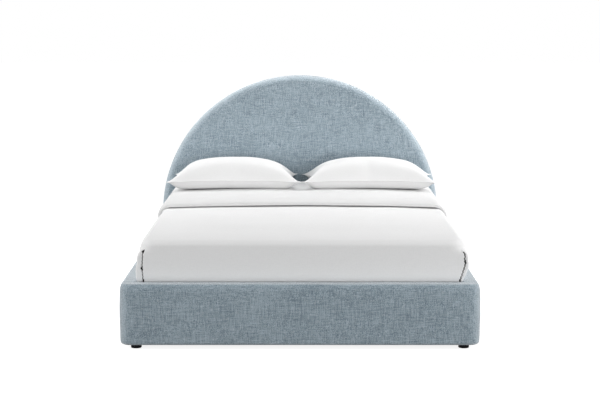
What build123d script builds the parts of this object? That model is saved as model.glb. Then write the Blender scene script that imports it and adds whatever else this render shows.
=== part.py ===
from build123d import *
import math
import os

os.makedirs("parts", exist_ok=True)

# Upholstered platform bed with an arched headboard, a queen mattress and its bedding.
# Millimetres. X runs to the right as seen from the foot end, Y towards the headboard, Z up.
# The origin is on the floor, in the middle of the footprint.

# Mattress
mattress_width = 1524
mattress_length = 2032
mattress_height = 285
mattress_edge_radius = 42
mattress_crown = 12
mattress_clearance = 8  # free space between the mattress and the box, all round
mattress_sink = 85  # depth of the slats' top below the top of the box

# Bedding
soft_gap = 0.3  # clearance between soft pieces that rest on each other
bed_cover_thickness = 4
cover_tuck = 160  # width of the bed cover that is tucked in under the mattress
corner_fold_thickness = 3
corner_fold_width = 32
corner_fold_length = 270
corner_fold_drop = 14
turndown_thickness = 25
turndown_setback = 1095  # from the face of the foot rail to the front of the folded band
turndown_roll = 120
turndown_hem_gap = 8  # height of the band's hem over the rails

# Pillows
pillow_width = 795
pillow_depth = 468
pillow_height = 169
pillow_gap = 2
pillow_pair_shift = 9  # the pair lies a little to the right of the middle
pillow_head_gap = 6
pillow_seam_share = 0.27
pillow_rise_shares = (0, 0.3, 0.58, 0.84, 1)
pillow_inset_shares = (0, 0.04, 0.13, 0.3, 0.56)
pillow_bulge_shares = (-0.03, 0.005, 0.04, 0.07, 0.09)

# Upholstered box of rails
upholstery_thickness = 2
panel_thickness = 12
rail_foam = 26
rail_top_foam = 20
batten_thickness = 26
batten_width = 28
end_block_width = 120
box_height = 290
rail_corner_radius = 50
rail_top_radius = 12
rail_bottom_radius = 14

# Headboard
headboard_height = 1200
headboard_foam = 34
headboard_edge_foam = 12
headboard_frame_depth = 50
headboard_front_radius = 28
headboard_back_radius = 10
headboard_rim_width = 90
headboard_rail_width = 70
headboard_rail_gap = 10
lower_board_drop = 10
dust_cover_inset = 45

# Slats and their supports
slat_count = 12
slat_width = 100
slat_thickness = 18
slat_margin = 12  # from the lining at each end to the first and last slat
slat_end_gap = 3
slat_edge_radius = 3
ledger_width = 30
ledger_height = 40
ledger_end_gap = 5
beam_width = 60
beam_height = 70
beam_end_gap = 1
hanger_thickness = 3
hanger_side_gap = 0.5
hanger_flange = 24
hanger_depth = 48
hanger_side_drop = 12

# Centre legs with levelling glides
leg_place_share = 1 / 6  # of the well's length, from its middle to each leg
leg_diameter = 38
leg_wall = 2
leg_plate_size = 80
leg_plate_thickness = 4
leg_plug_height = 12
glide_travel = 12
glide_stop_gap = 1
glide_pad_diameter = 44
glide_pad_height = 8
glide_pad_radius = 2
glide_collar_width = 17
glide_collar_height = 6
glide_collar_sides = 6
glide_stud_diameter = 10
glide_stud_length = 46
glide_thread_gap = 0.1

# Feet under the four corners
foot_height = 20
foot_diameter = 51
foot_edge_radius = 3
foot_side_inset = 73  # from the bed's side to the foot's middle
foot_stud_length = 22

# Corner brackets and fasteners
bracket_leg = 70
bracket_height = 110
bracket_thickness = 3
bracket_gap = 6  # between the bracket and the ledger above it
bracket_corner_gap = 0.5
bracket_hole_margin = 25
bracket_hole_setback = 45
bolt_diameter = 8
bolt_head_diameter = 14
bolt_head_height = 4.5
bolt_socket_width = 5
bolt_socket_depth = 2.5
socket_sides = 6
bolt_engagement = 15
bolt_hole_diameter = 9
insert_diameter = 12
insert_length = 20
thread_gap = 0.1
screw_diameter = 4.4
screw_head_diameter = 8.6
screw_head_height = 2.6
screw_tip_gap = 1
slat_screw_length = 36
screw_gap = 0.1
ledger_screw_count = 8
ledger_screw_margin = 60
ledger_screw_rise = 12  # above the ledger's underside, clear of the slat screws
hanger_screw_margin = 18
leg_screw_margin = 12

overrun = 10  # how far the cutting shapes reach past the solids that they cut

# Places worked out from the sizes above
rail_thickness = 2 * upholstery_thickness + rail_foam + 2 * panel_thickness + batten_thickness
headboard_thickness = (
    2 * upholstery_thickness + headboard_foam + panel_thickness + headboard_frame_depth
)
inner_half_width = mattress_width / 2 + mattress_clearance
half_width = inner_half_width + rail_thickness
well_length = mattress_length + 2 * mattress_clearance
bed_length = rail_thickness + well_length + headboard_thickness
front_y = -bed_length / 2
foot_rail_back = front_y + rail_thickness
headboard_front = foot_rail_back + well_length
rear_y = bed_length / 2
well_middle = (foot_rail_back + headboard_front) / 2

box_bottom = foot_height
box_top = box_bottom + box_height
deck_z = box_top - mattress_sink
support_z = deck_z - slat_thickness
beam_bottom = support_z - beam_height

core_bottom = box_bottom + upholstery_thickness
core_top = box_top - upholstery_thickness - rail_top_foam
core_half_width = half_width - upholstery_thickness - rail_foam
face_panel_depth = upholstery_thickness + rail_foam
frame_depth = face_panel_depth + panel_thickness
inner_panel_depth = frame_depth + batten_thickness
lining_depth = inner_panel_depth + panel_thickness

headboard_core_inset = upholstery_thickness + headboard_edge_foam
lower_board_top = box_top - lower_board_drop
headboard_core_front = headboard_front + upholstery_thickness + headboard_foam
headboard_frame_front = headboard_core_front + panel_thickness
headboard_core_back = headboard_frame_front + headboard_frame_depth
arch_z = headboard_height - half_width

mattress_bottom = deck_z + bed_cover_thickness + 2 * soft_gap
mattress_top = mattress_bottom + mattress_height
mattress_front = foot_rail_back + mattress_clearance
mattress_rear = headboard_front - mattress_clearance
cover_growth = soft_gap + bed_cover_thickness
turndown_growth = cover_growth + soft_gap

frame_screw_length = (
    hanger_thickness + upholstery_thickness + panel_thickness + batten_thickness - screw_tip_gap
)
bracket_top = support_z - ledger_height - bracket_gap
bracket_bottom = bracket_top - bracket_height
leg_bottom = glide_pad_height + glide_collar_height + glide_travel + glide_stop_gap

foot_x = half_width - foot_side_inset
front_foot_y = front_y + frame_depth + batten_thickness / 2
rear_foot_y = headboard_frame_front + headboard_frame_depth / 2

corner_align = (Align.MIN, Align.MIN, Align.MIN)
base_align = (Align.CENTER, Align.CENTER, Align.MIN)
top_align = (Align.CENTER, Align.CENTER, Align.MAX)


def box_between(low, high, mode=Mode.ADD):
    """A rectangular block from its lowest corner to its highest."""
    size = [upper - lower for lower, upper in zip(low, high)]
    with Locations(low):
        Box(*size, align=corner_align, mode=mode)


def evenly(first, last, count):
    """Evenly spaced places from the first to the last."""
    return [first + (last - first) * index / (count - 1) for index in range(count)]


# Fastener places. Each plane lies on the face that the head bears on, and its Z axis
# points along the shank into the wood.
def bracket_bolt_planes(side, end):
    """Four bolts of one corner bracket; side is -1 or 1 along X, end is -1 or 1 along Y."""
    wall = foot_rail_back if end < 0 else headboard_front
    heights = (bracket_bottom + bracket_hole_margin, bracket_top - bracket_hole_margin)
    rail_face = side * (inner_half_width - bracket_thickness)
    end_face = wall - end * bracket_thickness
    planes = []
    for height in heights:
        along = wall - end * bracket_hole_setback
        planes.append(Plane(origin=(rail_face, along, height), z_dir=(side, 0, 0)))
        across = side * (inner_half_width - bracket_hole_setback)
        planes.append(Plane(origin=(across, end_face, height), z_dir=(0, end, 0)))
    return planes


def ledger_screw_planes(side):
    """Screws through one ledger into its rail."""
    first = foot_rail_back + ledger_screw_margin
    last = headboard_front - ledger_screw_margin
    height = support_z - ledger_height + ledger_screw_rise
    face = side * (inner_half_width - ledger_width)
    return [
        Plane(origin=(face, along, height), z_dir=(side, 0, 0))
        for along in evenly(first, last, ledger_screw_count)
    ]


def hanger_screw_planes(end):
    """Four screws through the flanges of one beam hanger."""
    wall = foot_rail_back if end < 0 else headboard_front
    face = wall - end * hanger_thickness
    across = beam_width / 2 + hanger_side_gap + hanger_thickness + hanger_flange / 2
    heights = (beam_bottom + hanger_screw_margin, support_z - hanger_screw_margin)
    return [
        Plane(origin=(side * across, face, height), z_dir=(0, end, 0))
        for side in (-1, 1)
        for height in heights
    ]


def leg_screw_planes(leg_y):
    """Four screws up through a leg's top plate into the beam."""
    reach_x = beam_width / 2 - leg_screw_margin
    reach_y = leg_plate_size / 2 - leg_screw_margin
    face = beam_bottom - leg_plate_thickness
    return [
        Plane(origin=(side_x * reach_x, leg_y + side_y * reach_y, face), z_dir=(0, 0, 1))
        for side_x in (-1, 1)
        for side_y in (-1, 1)
    ]


def slat_screw_planes(slat_y):
    """One screw down through each end of a slat into the ledger."""
    across = inner_half_width - ledger_width / 2
    return [Plane(origin=(side * across, slat_y, deck_z), z_dir=(0, 0, -1)) for side in (-1, 1)]


foot_places = {
    "front_left": (-foot_x, front_foot_y),
    "front_right": (foot_x, front_foot_y),
    "rear_left": (-foot_x, rear_foot_y),
    "rear_right": (foot_x, rear_foot_y),
}
leg_places = {
    "front": well_middle - well_length * leg_place_share,
    "rear": well_middle + well_length * leg_place_share,
}
slat_places = evenly(
    foot_rail_back + slat_margin + slat_width / 2,
    headboard_front - slat_margin - slat_width / 2,
    slat_count,
)
side_signs = {"left": -1, "right": 1}
end_signs = {"foot": -1, "head": 1}
foot_insert_planes = [
    Plane(origin=(x, y, core_bottom), z_dir=(0, 0, 1)) for x, y in foot_places.values()
]


def cut_bolt_holes(planes):
    """Clearance holes through the bracket and the upholstery."""
    with Locations(*planes):
        Cylinder(bolt_hole_diameter / 2, overrun, align=base_align, mode=Mode.SUBTRACT)


def insert_planes(planes):
    """Planes on the bare wood behind the bracket and the upholstery."""
    return [plane.offset(bracket_thickness + upholstery_thickness) for plane in planes]


def cut_insert_holes(planes):
    """Holes in the wood that the threaded inserts fill."""
    with Locations(*planes):
        Cylinder(insert_diameter / 2, insert_length, align=base_align, mode=Mode.SUBTRACT)


def countersunk_screw(length, growth, mode):
    """A countersunk wood screw at the current places, grown by a clearance."""
    shank = screw_diameter / 2 + growth
    Cone(screw_head_diameter / 2 + growth, shank, screw_head_height, align=base_align, mode=mode)
    Cylinder(shank, length + growth, align=base_align, mode=mode)


def cut_screw_holes(planes, length):
    """Countersunk holes for wood screws."""
    with Locations(*planes):
        countersunk_screw(length, screw_gap, Mode.SUBTRACT)


# Foot rail, across the whole front, with rounded vertical corners
def foot_rail_block(inset):
    """The rail's upholstered form, drawn in by an inset."""
    with BuildPart() as block:
        with BuildSketch(Plane.XY.offset(box_bottom + inset)):
            with Locations((0, (front_y + foot_rail_back) / 2)):
                Rectangle(2 * (half_width - inset), rail_thickness - 2 * inset)
        extrude(amount=box_height - 2 * inset)
        front_corners = block.edges().filter_by(Axis.Z).group_by(Axis.Y)[0]
        fillet(front_corners, rail_corner_radius - inset)
        fillet(block.faces().sort_by(Axis.Z)[-1].edges(), rail_top_radius - inset)
        bottom_edges = block.faces().sort_by(Axis.Z)[0].edges().sort_by(Axis.Y)[:-1]
        fillet(bottom_edges, rail_bottom_radius - inset)
    return block.part


def frame_windows(first, last):
    """The two open spans of a rail frame, between its end blocks and its middle block."""
    middle = (first + last) / 2
    return [
        (first + end_block_width, middle - end_block_width / 2),
        (middle + end_block_width / 2, last - end_block_width),
    ]


foot_rail_outside = foot_rail_block(0)
foot_rail_inside = foot_rail_block(upholstery_thickness)
foot_bolts = bracket_bolt_planes(-1, -1) + bracket_bolt_planes(1, -1)
foot_rail_inserts = insert_planes(foot_bolts) + foot_insert_planes[:2]

with BuildPart() as foot_rail_face_panel:
    box_between(
        (-core_half_width, front_y + face_panel_depth, core_bottom),
        (core_half_width, front_y + frame_depth, core_top),
    )
foot_rail_face_panel.part.label = "foot_rail_face_panel"
export_step(foot_rail_face_panel.part, "parts/foot_rail_face_panel.step")

with BuildPart() as foot_rail_frame:
    box_between(
        (-core_half_width, front_y + frame_depth, core_bottom),
        (core_half_width, front_y + inner_panel_depth, core_top),
    )
    for window_start, window_end in frame_windows(-core_half_width, core_half_width):
        box_between(
            (window_start, front_y + frame_depth, core_bottom + batten_width),
            (window_end, front_y + inner_panel_depth, core_top - batten_width),
            Mode.SUBTRACT,
        )
    cut_insert_holes(foot_rail_inserts)
    cut_screw_holes(hanger_screw_planes(-1), frame_screw_length)
foot_rail_frame.part.label = "foot_rail_frame"
export_step(foot_rail_frame.part, "parts/foot_rail_frame.step")

with BuildPart() as foot_rail_inner_panel:
    box_between(
        (-core_half_width, front_y + inner_panel_depth, core_bottom),
        (core_half_width, front_y + lining_depth, core_top),
    )
    cut_insert_holes(foot_rail_inserts)
    cut_screw_holes(hanger_screw_planes(-1), frame_screw_length)
foot_rail_inner_panel.part.label = "foot_rail_inner_panel"
export_step(foot_rail_inner_panel.part, "parts/foot_rail_inner_panel.step")

with BuildPart() as foot_rail_foam:
    add(foot_rail_inside)
    box_between(
        (-core_half_width, front_y + face_panel_depth, core_bottom - overrun),
        (core_half_width, foot_rail_back, core_top),
        Mode.SUBTRACT,
    )
foot_rail_foam.part.label = "foot_rail_foam"
export_step(foot_rail_foam.part, "parts/foot_rail_foam.step")

with BuildPart() as foot_rail_cover:
    add(foot_rail_outside)
    add(foot_rail_inside, mode=Mode.SUBTRACT)
    cut_bolt_holes(foot_bolts)
    cut_screw_holes(hanger_screw_planes(-1), frame_screw_length)
    with Locations(*[(x, y, box_bottom) for x, y in list(foot_places.values())[:2]]):
        Cylinder(bolt_hole_diameter / 2, overrun, mode=Mode.SUBTRACT)
foot_rail_cover.part.label = "foot_rail_cover"
export_step(foot_rail_cover.part, "parts/foot_rail_cover.step")


# Side rails, between the foot rail and the headboard
def rail_span(side, outer_depth, inner_depth):
    """The X range between two depths measured in from a side rail's outer face."""
    return sorted((side * (half_width - outer_depth), side * (half_width - inner_depth)))


def side_rail_block(side, inset):
    """The form of one upholstered side rail, drawn in by an inset."""
    with BuildPart() as block:
        with BuildSketch(Plane.XZ.offset(-foot_rail_back - inset)) as profile:
            with Locations((side * (half_width - rail_thickness / 2), box_bottom + box_height / 2)):
                Rectangle(rail_thickness - 2 * inset, box_height - 2 * inset)
            fillet(profile.vertices().group_by(Axis.Y)[-1], rail_top_radius - inset)
            lower_corners = profile.vertices().group_by(Axis.Y)[0].sort_by(Axis.X)
            outer_corner = lower_corners[-1] if side > 0 else lower_corners[0]
            fillet(outer_corner, rail_bottom_radius - inset)
        extrude(amount=2 * inset - well_length)
    return block.part


def rail_layer(side, outer_depth, inner_depth):
    """A board as long as the side rail's core, between two depths from its outer face."""
    low_x, high_x = rail_span(side, outer_depth, inner_depth)
    box_between(
        (low_x, foot_rail_back + upholstery_thickness, core_bottom),
        (high_x, headboard_front - upholstery_thickness, core_top),
    )


for side_name, side in side_signs.items():
    rail_outside = side_rail_block(side, 0)
    rail_inside = side_rail_block(side, upholstery_thickness)
    rail_bolts = bracket_bolt_planes(side, -1) + bracket_bolt_planes(side, 1)
    rail_screws = ledger_screw_planes(side)

    with BuildPart() as face_panel:
        rail_layer(side, face_panel_depth, frame_depth)
    face_panel.part.label = f"{side_name}_rail_face_panel"
    export_step(face_panel.part, f"parts/{side_name}_rail_face_panel.step")

    with BuildPart() as rail_frame:
        rail_layer(side, frame_depth, inner_panel_depth)
        frame_low_x, frame_high_x = rail_span(side, frame_depth, inner_panel_depth)
        for window_start, window_end in frame_windows(foot_rail_back, headboard_front):
            box_between(
                (frame_low_x, window_start, core_bottom + batten_width),
                (frame_high_x, window_end, core_top - batten_width),
                Mode.SUBTRACT,
            )
        cut_insert_holes(insert_planes(rail_bolts))
        cut_screw_holes(rail_screws, frame_screw_length)
    rail_frame.part.label = f"{side_name}_rail_frame"
    export_step(rail_frame.part, f"parts/{side_name}_rail_frame.step")

    with BuildPart() as inner_panel:
        rail_layer(side, inner_panel_depth, lining_depth)
        cut_insert_holes(insert_planes(rail_bolts))
        cut_screw_holes(rail_screws, frame_screw_length)
    inner_panel.part.label = f"{side_name}_rail_inner_panel"
    export_step(inner_panel.part, f"parts/{side_name}_rail_inner_panel.step")

    with BuildPart() as rail_foam_pad:
        add(rail_inside)
        foam_low_x, foam_high_x = rail_span(side, face_panel_depth, rail_thickness)
        box_between(
            (foam_low_x, foot_rail_back, core_bottom - overrun),
            (foam_high_x, headboard_front, core_top),
            Mode.SUBTRACT,
        )
    rail_foam_pad.part.label = f"{side_name}_rail_foam"
    export_step(rail_foam_pad.part, f"parts/{side_name}_rail_foam.step")

    with BuildPart() as rail_cover:
        add(rail_outside)
        add(rail_inside, mode=Mode.SUBTRACT)
        cut_bolt_holes(rail_bolts)
        cut_screw_holes(rail_screws, frame_screw_length)
    rail_cover.part.label = f"{side_name}_rail_cover"
    export_step(rail_cover.part, f"parts/{side_name}_rail_cover.step")

    ledger_low_x, ledger_high_x = rail_span(side, rail_thickness, rail_thickness + ledger_width)
    with BuildPart() as slat_ledger:
        box_between(
            (ledger_low_x, foot_rail_back + ledger_end_gap, support_z - ledger_height),
            (ledger_high_x, headboard_front - ledger_end_gap, support_z),
        )
        cut_screw_holes(rail_screws, frame_screw_length)
        for slat_y in slat_places:
            cut_screw_holes(slat_screw_planes(slat_y), slat_screw_length)
    slat_ledger.part.label = f"{side_name}_slat_ledger"
    export_step(slat_ledger.part, f"parts/{side_name}_slat_ledger.step")


# Headboard
def arch_block(inset, front, back, bottom, front_radius=0, back_radius=0):
    """The arched outline, drawn in by an inset, as a block between two planes."""
    reach = half_width - inset
    with BuildPart() as block:
        with BuildSketch(Plane.XZ.offset(-front)):
            with BuildLine():
                Polyline((-reach, arch_z), (-reach, bottom), (reach, bottom), (reach, arch_z))
                ThreePointArc((reach, arch_z), (0, arch_z + reach), (-reach, arch_z))
            make_face()
        extrude(amount=front - back)
        if front_radius > 0:
            rim = block.faces().sort_by(Axis.Y)[0].edges().sort_by(Axis.Z)[1:]
            fillet(rim, front_radius)
        if back_radius > 0:
            rim = block.faces().sort_by(Axis.Y)[-1].edges().sort_by(Axis.Z)[1:]
            fillet(rim, back_radius)
    return block.part


headboard_outside = arch_block(
    0, headboard_front, rear_y, box_bottom, headboard_front_radius, headboard_back_radius
)
headboard_inside = arch_block(
    upholstery_thickness,
    headboard_front + upholstery_thickness,
    headboard_core_back,
    core_bottom,
    headboard_front_radius - upholstery_thickness,
    headboard_back_radius - upholstery_thickness,
)
headboard_core = arch_block(
    headboard_core_inset, headboard_core_front, headboard_core_back + overrun, core_bottom - overrun
)
headboard_window = arch_block(
    headboard_core_inset + headboard_rim_width,
    headboard_frame_front,
    headboard_core_back,
    core_bottom + headboard_rim_width,
)
dust_opening = arch_block(
    dust_cover_inset, headboard_core_back, rear_y, box_bottom + dust_cover_inset
)
lower_board_half_width = half_width - headboard_front_radius
cross_rail_half_width = half_width - headboard_core_inset - headboard_rim_width / 2
head_bolts = bracket_bolt_planes(-1, 1) + bracket_bolt_planes(1, 1)

with BuildPart() as headboard_panel:
    add(arch_block(headboard_core_inset, headboard_core_front, headboard_frame_front, core_bottom))
    cut_screw_holes(hanger_screw_planes(1), frame_screw_length)
headboard_panel.part.label = "headboard_panel"
export_step(headboard_panel.part, "parts/headboard_panel.step")

headboard_rail_bottom = lower_board_top + headboard_rail_gap
headboard_stile_reach = headboard_rail_width / 2
with BuildPart() as headboard_frame:
    add(arch_block(headboard_core_inset, headboard_frame_front, headboard_core_back, core_bottom))
    add(headboard_window, mode=Mode.SUBTRACT)
    box_between(
        (-cross_rail_half_width, headboard_frame_front, headboard_rail_bottom),
        (cross_rail_half_width, headboard_core_back, headboard_rail_bottom + headboard_rail_width),
    )
    box_between(
        (-headboard_stile_reach, headboard_frame_front, core_bottom),
        (
            headboard_stile_reach,
            headboard_core_back,
            headboard_height - headboard_core_inset - headboard_rim_width / 2,
        ),
    )
    cut_insert_holes(foot_insert_planes[2:])
headboard_frame.part.label = "headboard_frame"
export_step(headboard_frame.part, "parts/headboard_frame.step")

with BuildPart() as headboard_lower_board:
    box_between(
        (-lower_board_half_width, headboard_front + upholstery_thickness, core_bottom),
        (lower_board_half_width, headboard_core_front, lower_board_top),
    )
    cut_insert_holes(insert_planes(head_bolts))
    cut_screw_holes(hanger_screw_planes(1), frame_screw_length)
headboard_lower_board.part.label = "headboard_lower_board"
export_step(headboard_lower_board.part, "parts/headboard_lower_board.step")

with BuildPart() as headboard_foam_pad:
    add(headboard_inside)
    add(headboard_core, mode=Mode.SUBTRACT)
    box_between(
        (-lower_board_half_width, headboard_front, core_bottom - overrun),
        (lower_board_half_width, headboard_core_front, lower_board_top),
        Mode.SUBTRACT,
    )
headboard_foam_pad.part.label = "headboard_foam"
export_step(headboard_foam_pad.part, "parts/headboard_foam.step")

with BuildPart() as headboard_cover:
    add(headboard_outside)
    add(headboard_inside, mode=Mode.SUBTRACT)
    add(dust_opening, mode=Mode.SUBTRACT)
    cut_bolt_holes(head_bolts)
    cut_screw_holes(hanger_screw_planes(1), frame_screw_length)
    with Locations(*[(x, y, box_bottom) for x, y in list(foot_places.values())[2:]]):
        Cylinder(bolt_hole_diameter / 2, overrun, mode=Mode.SUBTRACT)
headboard_cover.part.label = "headboard_cover"
export_step(headboard_cover.part, "parts/headboard_cover.step")

with BuildPart() as headboard_dust_cover:
    add(dust_opening)
headboard_dust_cover.part.label = "headboard_dust_cover"
export_step(headboard_dust_cover.part, "parts/headboard_dust_cover.step")


# Slats
for slat_number, slat_y in enumerate(slat_places, start=1):
    with BuildPart() as slat:
        with BuildSketch(Plane.XY.offset(support_z)):
            with Locations((0, slat_y)):
                Rectangle(2 * (inner_half_width - slat_end_gap), slat_width)
        extrude(amount=slat_thickness)
        fillet(slat.edges().filter_by(Axis.X), slat_edge_radius)
        cut_screw_holes(slat_screw_planes(slat_y), slat_screw_length)
    slat.part.label = f"slat_{slat_number:02d}"
    export_step(slat.part, f"parts/slat_{slat_number:02d}.step")

# Centre beam and its two hangers
beam_end_setback = hanger_thickness + beam_end_gap
with BuildPart() as centre_beam:
    box_between(
        (-beam_width / 2, foot_rail_back + beam_end_setback, beam_bottom),
        (beam_width / 2, headboard_front - beam_end_setback, support_z),
    )
    for leg_y in leg_places.values():
        cut_screw_holes(leg_screw_planes(leg_y), frame_screw_length)
centre_beam.part.label = "centre_beam"
export_step(centre_beam.part, "parts/centre_beam.step")

saddle_reach = beam_width / 2 + hanger_side_gap
saddle_outer_reach = saddle_reach + hanger_thickness
plate_reach = saddle_outer_reach + hanger_flange
for end_name, end in end_signs.items():
    wall = foot_rail_back if end < 0 else headboard_front
    saddle_low, saddle_high = sorted((wall, wall - end * hanger_depth))
    plate_low, plate_high = sorted((wall, wall - end * hanger_thickness))
    with BuildPart() as beam_hanger:
        box_between(
            (-saddle_outer_reach, saddle_low, beam_bottom - hanger_thickness),
            (saddle_outer_reach, saddle_high, support_z - hanger_side_drop),
        )
        box_between(
            (-saddle_reach, saddle_low, beam_bottom),
            (saddle_reach, saddle_high, support_z),
            Mode.SUBTRACT,
        )
        box_between(
            (-plate_reach, plate_low, beam_bottom - hanger_thickness),
            (plate_reach, plate_high, support_z - hanger_side_drop),
        )
        cut_screw_holes(hanger_screw_planes(end), frame_screw_length)
    beam_hanger.part.label = f"{end_name}_beam_hanger"
    export_step(beam_hanger.part, f"parts/{end_name}_beam_hanger.step")

# Centre legs: a steel tube with a top plate and a threaded plug for the glide
for leg_name, leg_y in leg_places.items():
    with BuildPart() as centre_leg:
        with BuildSketch(Plane.XY.offset(leg_bottom)):
            with Locations((0, leg_y)):
                Circle(leg_diameter / 2)
        extrude(amount=beam_bottom - leg_plate_thickness - leg_bottom)
        with BuildSketch(Plane.XY.offset(leg_bottom + leg_plug_height)):
            with Locations((0, leg_y)):
                Circle(leg_diameter / 2 - leg_wall)
        extrude(
            amount=beam_bottom - leg_plate_thickness - leg_bottom - leg_plug_height,
            mode=Mode.SUBTRACT,
        )
        with BuildSketch(Plane.XY.offset(leg_bottom)):
            with Locations((0, leg_y)):
                Circle(glide_stud_diameter / 2 + glide_thread_gap)
        extrude(amount=leg_plug_height, mode=Mode.SUBTRACT)
        with BuildSketch(Plane.XY.offset(beam_bottom - leg_plate_thickness)):
            with Locations((0, leg_y)):
                Rectangle(leg_plate_size, leg_plate_size)
        extrude(amount=leg_plate_thickness)
        cut_screw_holes(leg_screw_planes(leg_y), frame_screw_length)
    centre_leg.part.label = f"centre_leg_{leg_name}"
    export_step(centre_leg.part, f"parts/centre_leg_{leg_name}.step")

    with BuildPart() as levelling_glide:
        with BuildSketch(Plane.XY):
            with Locations((0, leg_y)):
                Circle(glide_pad_diameter / 2)
        extrude(amount=glide_pad_height)
        fillet(levelling_glide.edges().filter_by(GeomType.CIRCLE), glide_pad_radius)
        with BuildSketch(Plane.XY.offset(glide_pad_height)):
            with Locations((0, leg_y)):
                RegularPolygon(glide_collar_width / 2, glide_collar_sides, major_radius=False)
        extrude(amount=glide_collar_height)
        with BuildSketch(Plane.XY.offset(glide_pad_height + glide_collar_height)):
            with Locations((0, leg_y)):
                Circle(glide_stud_diameter / 2)
        extrude(amount=glide_stud_length)
    levelling_glide.part.label = f"levelling_glide_{leg_name}"
    export_step(levelling_glide.part, f"parts/levelling_glide_{leg_name}.step")

# Corner feet with their moulded-in studs
for foot_name, (place_x, place_y) in foot_places.items():
    with BuildPart() as corner_foot:
        with BuildSketch(Plane.XY):
            with Locations((place_x, place_y)):
                Circle(foot_diameter / 2)
        extrude(amount=foot_height)
        fillet(corner_foot.edges().group_by(Axis.Z)[0], foot_edge_radius)
        with BuildSketch(Plane.XY.offset(foot_height)):
            with Locations((place_x, place_y)):
                Circle(bolt_diameter / 2)
        extrude(amount=foot_stud_length)
    corner_foot.part.label = f"foot_{foot_name}"
    export_step(corner_foot.part, f"parts/foot_{foot_name}.step")

# Corner brackets: steel angles inside the box, below the slats
bracket_planes = []
for side_name, side in side_signs.items():
    for end_name, end in end_signs.items():
        wall = foot_rail_back if end < 0 else headboard_front
        corner_x = side * (inner_half_width - bracket_corner_gap)
        corner_y = wall - end * bracket_corner_gap
        side_plate_x = sorted((side * inner_half_width, side * (inner_half_width - bracket_thickness)))
        side_plate_y = sorted((corner_y, wall - end * bracket_leg))
        end_plate_x = sorted((corner_x, side * (inner_half_width - bracket_leg)))
        end_plate_y = sorted((wall, wall - end * bracket_thickness))
        planes = bracket_bolt_planes(side, end)
        bracket_planes += planes
        with BuildPart() as corner_bracket:
            box_between(
                (side_plate_x[0], side_plate_y[0], bracket_bottom),
                (side_plate_x[1], side_plate_y[1], bracket_top),
            )
            box_between(
                (end_plate_x[0], end_plate_y[0], bracket_bottom),
                (end_plate_x[1], end_plate_y[1], bracket_top),
            )
            with Locations(*planes):
                Cylinder(bolt_hole_diameter / 2, 2 * bracket_thickness, mode=Mode.SUBTRACT)
        corner_bracket.part.label = f"corner_bracket_{end_name}_{side_name}"
        export_step(corner_bracket.part, f"parts/corner_bracket_{end_name}_{side_name}.step")

# Bolts of the brackets: low round heads with a hexagonal socket
bolt_length = bracket_thickness + upholstery_thickness + bolt_engagement
with BuildPart() as bracket_bolts:
    with Locations(*bracket_planes):
        Cylinder(bolt_diameter / 2, bolt_length, align=base_align)
        Cylinder(bolt_head_diameter / 2, bolt_head_height, align=top_align)
    for plane in bracket_planes:
        with BuildSketch(plane.offset(-bolt_head_height)):
            RegularPolygon(bolt_socket_width / 2, socket_sides, major_radius=False)
    extrude(amount=bolt_socket_depth, mode=Mode.SUBTRACT)
bracket_bolts.part.label = "bracket_bolts"
export_step(bracket_bolts.part, "parts/bracket_bolts.step")

with BuildPart() as threaded_inserts:
    with Locations(*insert_planes(bracket_planes), *foot_insert_planes):
        Cylinder(insert_diameter / 2, insert_length, align=base_align)
        Cylinder(
            bolt_diameter / 2 + thread_gap, insert_length, align=base_align, mode=Mode.SUBTRACT
        )
threaded_inserts.part.label = "threaded_inserts"
export_step(threaded_inserts.part, "parts/threaded_inserts.step")

frame_screw_planes = hanger_screw_planes(-1) + hanger_screw_planes(1)
for side in side_signs.values():
    frame_screw_planes += ledger_screw_planes(side)
for leg_y in leg_places.values():
    frame_screw_planes += leg_screw_planes(leg_y)
with BuildPart() as frame_screws:
    with Locations(*frame_screw_planes):
        countersunk_screw(frame_screw_length, 0, Mode.ADD)
frame_screws.part.label = "frame_screws"
export_step(frame_screws.part, "parts/frame_screws.step")

all_slat_screw_planes = [plane for slat_y in slat_places for plane in slat_screw_planes(slat_y)]
with BuildPart() as slat_screws:
    with Locations(*all_slat_screw_planes):
        countersunk_screw(slat_screw_length, 0, Mode.ADD)
slat_screws.part.label = "slat_screws"
export_step(slat_screws.part, "parts/slat_screws.step")


# Mattress and its bedding
def bed_section(along, growth, bottom, drop=0, shoulder_share=1):
    """Cross-section of the made-up mattress: flat bottom, round shoulders, crowned top.

    The section grows outwards by growth; near the ends the shoulder is drawn in by drop
    and its radius shrinks to a share of its full size.
    """
    reach = mattress_width / 2 + growth - drop
    top = mattress_top + growth - drop
    radius = (mattress_edge_radius + growth) * shoulder_share
    crown = mattress_crown * shoulder_share
    with BuildSketch(Plane.XZ.offset(-along)) as section:
        with BuildLine():
            Polyline((-reach, top - radius), (-reach, bottom), (reach, bottom), (reach, top - radius))
            JernArc((reach, top - radius), (0, 1), radius, 90)
            ThreePointArc((reach - radius, top), (0, top + crown), (radius - reach, top))
            JernArc((radius - reach, top), (-1, 0), radius, 90)
        make_face()
    return section.sketch.face()


end_angles = (15, 30, 45, 60, 75, 90)


def mattress_block(growth, bottom):
    """The mattress form with rounded corners, grown outwards all round."""
    radius = mattress_edge_radius + growth
    flat_setback = radius * math.cos(math.radians(end_angles[0]))
    sections = []
    for end, angles in ((1, end_angles), (-1, end_angles[::-1])):
        end_face = mattress_front - growth if end > 0 else mattress_rear + growth
        for angle in angles:
            setback = flat_setback - radius * math.cos(math.radians(angle))
            share = math.sin(math.radians(angle))
            sections.append(
                bed_section(end_face + end * setback, growth, bottom, radius * (1 - share), share)
            )
    with BuildPart() as block:
        loft(sections, ruled=True)
    return block.part


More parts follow.
